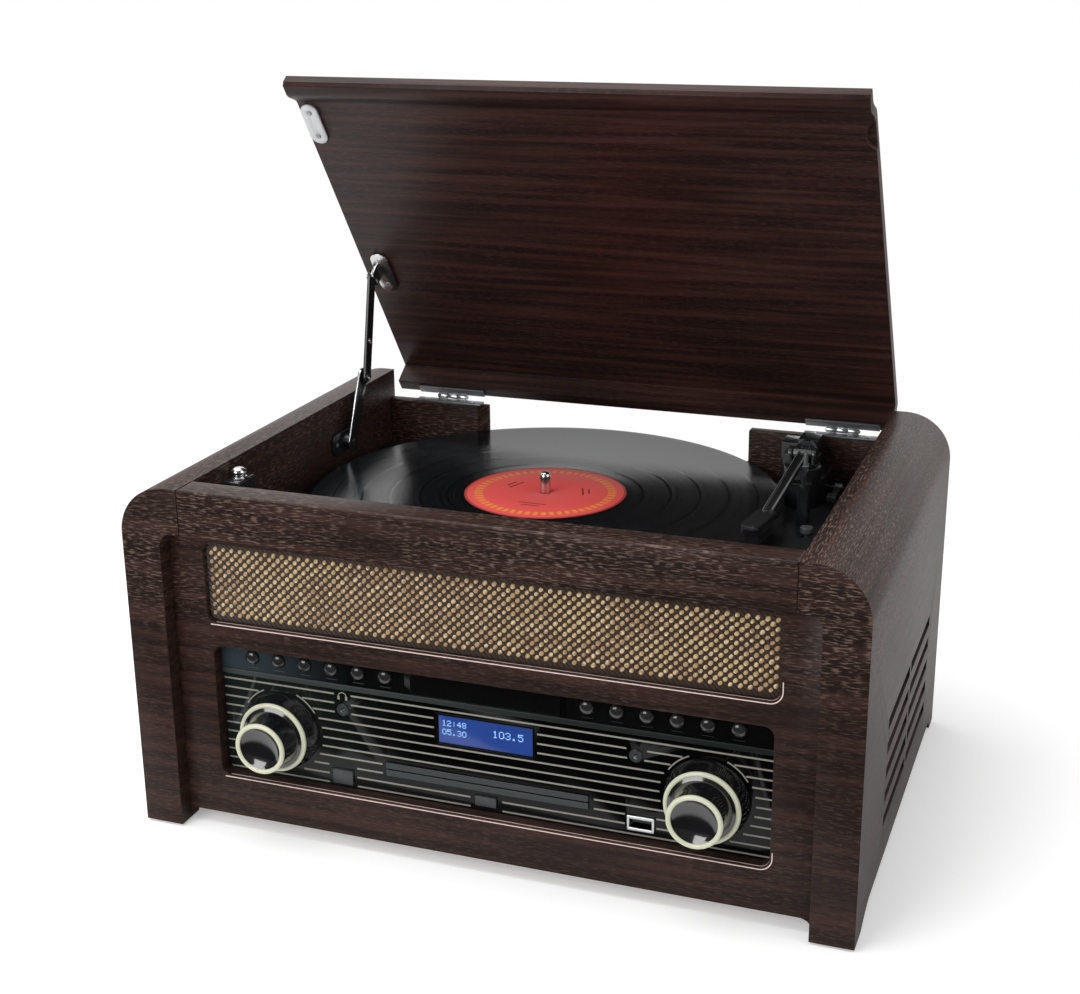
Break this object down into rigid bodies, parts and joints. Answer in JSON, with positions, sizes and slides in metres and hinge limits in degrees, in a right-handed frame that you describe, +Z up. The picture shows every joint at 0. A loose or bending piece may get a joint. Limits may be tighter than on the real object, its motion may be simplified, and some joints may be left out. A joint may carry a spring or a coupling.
{
  "type": "stereo music centre",
  "caption": "Wooden stereo music centre with a record deck under a lifting lid, a cloth grille, a radio fascia with display, disc slot, push buttons and two large knobs.",
  "frame": {"origin": "centre of the footprint's bounding box, at the bottom of the rubber pads", "axes": "+X to the right seen from the front, +Y to the back, +Z up"},
  "size_m": [0.44, 0.336, 0.4405],
  "materials": {
    "veneer": "satin dark wenge veneer",
    "lid_veneer": "satin dark reddish brown veneer",
    "fibreboard": "raw board",
    "rubber": "matte",
    "cloth": "woven tan and brown",
    "gloss_black": "gloss",
    "black_plastic": "satin",
    "display": "gloss, lit blue",
    "bright_metal": "bright",
    "sheet_metal": "plain",
    "board_green": "solder mask",
    "iron_core": "varnished",
    "vinyl": "gloss grooved",
    "label_paper": "coral red print",
    "knob_plastic": "black with cream rings",
    "button_plastic": "gloss"
  },
  "bodies": {
    "cabinet": {"side_left": "veneer", "side_right": "veneer", "top_front_rail": "veneer", "front_panel": "veneer", "back_panel": "veneer", "bottom_panel": "fibreboard", "rubber_feet": "rubber", "socket_panel": "black_plastic", "grille_cloth": "cloth", "fascia": "gloss_black", "lcd_window": "display", "panel_sockets": "sheet_metal", "speakers": "sheet_metal", "cd_mechanism": "sheet_metal", "circuit_boards": "board_green", "transformer": "iron_core", "deck_plate": "black_plastic", "motor": "sheet_metal", "drive_belt": "rubber", "tonearm_base": "black_plastic", "arm_rest": "black_plastic", "lid_catch": "bright_metal", "cabinet_hinge_leaves": "bright_metal", "stay_wall_bracket": "black_plastic"},
    "lid": {"lid": "lid_veneer", "strike_plate": "bright_metal", "lid_hinge_leaves": "bright_metal", "stay_lid_bracket": "bright_metal"},
    "stay_arm": {"stay_arm": "black_plastic"},
    "stay_channel": {"stay_channel": "bright_metal"},
    "platter": {"platter": "black_plastic", "platter_mat": "rubber", "record": "vinyl", "record_label": "label_paper", "spindle": "bright_metal"},
    "motor_pulley": {"motor_pulley": "sheet_metal"},
    "tonearm_gimbal": {"tonearm_gimbal": "black_plastic"},
    "tonearm": {"tonearm": "black_plastic", "cartridge": "black_plastic"},
    "arm_clip": {"arm_clip": "black_plastic"},
    "cue_lever": {"cue_lever": "black_plastic"},
    "speed_lever": {"speed_lever": "black_plastic"},
    "autostop_switch": {"autostop_switch": "black_plastic"},
    "volume_knob": {"volume_knob": "knob_plastic"},
    "tuning_knob": {"tuning_knob": "knob_plastic"},
    "standby_button": {"standby_button": "button_plastic"},
    "eject_button": {"eject_button": "button_plastic"},
    "button_left_1": {"button_left_1": "button_plastic"},
    "button_left_2": {"button_left_2": "button_plastic"},
    "button_left_3": {"button_left_3": "button_plastic"},
    "button_left_4": {"button_left_4": "button_plastic"},
    "button_left_5": {"button_left_5": "button_plastic"},
    "button_left_6": {"button_left_6": "button_plastic"},
    "button_right_1": {"button_right_1": "button_plastic"},
    "button_right_2": {"button_right_2": "button_plastic"},
    "button_right_3": {"button_right_3": "button_plastic"},
    "button_right_4": {"button_right_4": "button_plastic"},
    "button_right_5": {"button_right_5": "button_plastic"},
    "button_right_6": {"button_right_6": "button_plastic"}
  },
  "joints": [
    {"name": "lid_hinge", "type": "hinge", "parent": "cabinet", "child": "lid", "pos_m": [0, 0.1465, 0.2025], "axis": [1, 0, 0], "range_deg": [0, 54.2]},
    {"name": "stay_arm_pivot", "type": "hinge", "parent": "lid", "child": "stay_arm", "pos_m": [-0.171, 0.09119, 0.29885], "axis": [1, 0, 0], "range_deg": [0, 33.4]},
    {"name": "stay_channel_pivot", "type": "hinge", "parent": "cabinet", "child": "stay_channel", "pos_m": [-0.171, 0.058, 0.19], "axis": [1, 0, 0], "range_deg": [-55.33, 0]},
    {"name": "platter_spin", "type": "hinge", "parent": "cabinet", "child": "platter", "pos_m": [-0.018, 0.017, 0.175], "axis": [0, 0, -1], "continuous": true},
    {"name": "pulley_spin", "type": "hinge", "parent": "cabinet", "child": "motor_pulley", "pos_m": [-0.0774, 0.0764, 0.17], "axis": [0, 0, -1], "continuous": true},
    {"name": "tonearm_swing", "type": "hinge", "parent": "cabinet", "child": "tonearm_gimbal", "pos_m": [0.133, 0.09, 0.195], "axis": [0, 0, -1], "range_deg": [0, 47]},
    {"name": "tonearm_lift", "type": "hinge", "parent": "tonearm_gimbal", "child": "tonearm", "pos_m": [0.133, 0.09, 0.201], "axis": [-1, 0, 0], "range_deg": [-1, 1.5]},
    {"name": "arm_clip_hinge", "type": "hinge", "parent": "cabinet", "child": "arm_clip", "pos_m": [0.143, 0.048, 0.2056], "axis": [0, -1, 0], "range_deg": [0, 85]},
    {"name": "cue_lever_hinge", "type": "hinge", "parent": "cabinet", "child": "cue_lever", "pos_m": [0.154, 0.108, 0.175], "axis": [-1, 0, 0], "range_deg": [0, 40]},
    {"name": "speed_slide", "type": "slide", "parent": "cabinet", "child": "speed_lever", "axis": [0, 1, 0], "range_m": [-0.005, 0.005]},
    {"name": "autostop_slide", "type": "slide", "parent": "cabinet", "child": "autostop_switch", "axis": [0, 1, 0], "range_m": [-0.0045, 0.0045]},
    {"name": "volume_turn", "type": "hinge", "parent": "cabinet", "child": "volume_knob", "pos_m": [-0.132, -0.146, 0.0675], "axis": [0, 1, 0], "continuous": true},
    {"name": "tuning_turn", "type": "hinge", "parent": "cabinet", "child": "tuning_knob", "pos_m": [0.132, -0.146, 0.0675], "axis": [0, 1, 0], "continuous": true},
    {"name": "standby_button_press", "type": "slide", "parent": "cabinet", "child": "standby_button", "axis": [0, 1, 0], "range_m": [0, 0.0008], "stiffness_N_per_m": 250},
    {"name": "eject_button_press", "type": "slide", "parent": "cabinet", "child": "eject_button", "axis": [0, 1, 0], "range_m": [0, 0.0008], "stiffness_N_per_m": 250},
    {"name": "button_left_1_press", "type": "slide", "parent": "cabinet", "child": "button_left_1", "axis": [0, 1, 0], "range_m": [0, 0.0008], "stiffness_N_per_m": 250},
    {"name": "button_left_2_press", "type": "slide", "parent": "cabinet", "child": "button_left_2", "axis": [0, 1, 0], "range_m": [0, 0.0008], "stiffness_N_per_m": 250},
    {"name": "button_left_3_press", "type": "slide", "parent": "cabinet", "child": "button_left_3", "axis": [0, 1, 0], "range_m": [0, 0.0008], "stiffness_N_per_m": 250},
    {"name": "button_left_4_press", "type": "slide", "parent": "cabinet", "child": "button_left_4", "axis": [0, 1, 0], "range_m": [0, 0.0008], "stiffness_N_per_m": 250},
    {"name": "button_left_5_press", "type": "slide", "parent": "cabinet", "child": "button_left_5", "axis": [0, 1, 0], "range_m": [0, 0.0008], "stiffness_N_per_m": 250},
    {"name": "button_left_6_press", "type": "slide", "parent": "cabinet", "child": "button_left_6", "axis": [0, 1, 0], "range_m": [0, 0.0008], "stiffness_N_per_m": 250},
    {"name": "button_right_1_press", "type": "slide", "parent": "cabinet", "child": "button_right_1", "axis": [0, 1, 0], "range_m": [0, 0.0008], "stiffness_N_per_m": 250},
    {"name": "button_right_2_press", "type": "slide", "parent": "cabinet", "child": "button_right_2", "axis": [0, 1, 0], "range_m": [0, 0.0008], "stiffness_N_per_m": 250},
    {"name": "button_right_3_press", "type": "slide", "parent": "cabinet", "child": "button_right_3", "axis": [0, 1, 0], "range_m": [0, 0.0008], "stiffness_N_per_m": 250},
    {"name": "button_right_4_press", "type": "slide", "parent": "cabinet", "child": "button_right_4", "axis": [0, 1, 0], "range_m": [0, 0.0008], "stiffness_N_per_m": 250},
    {"name": "button_right_5_press", "type": "slide", "parent": "cabinet", "child": "button_right_5", "axis": [0, 1, 0], "range_m": [0, 0.0008], "stiffness_N_per_m": 250},
    {"name": "button_right_6_press", "type": "slide", "parent": "cabinet", "child": "button_right_6", "axis": [0, 1, 0], "range_m": [0, 0.0008], "stiffness_N_per_m": 250}
  ],
  "couplings": [
    {"joint": "stay_arm_pivot", "follows": "lid_hinge", "ratio": 0.6157},
    {"joint": "stay_channel_pivot", "follows": "lid_hinge", "ratio": -1.0199},
    {"joint": "pulley_spin", "follows": "platter_spin", "ratio": 11}
  ]
}
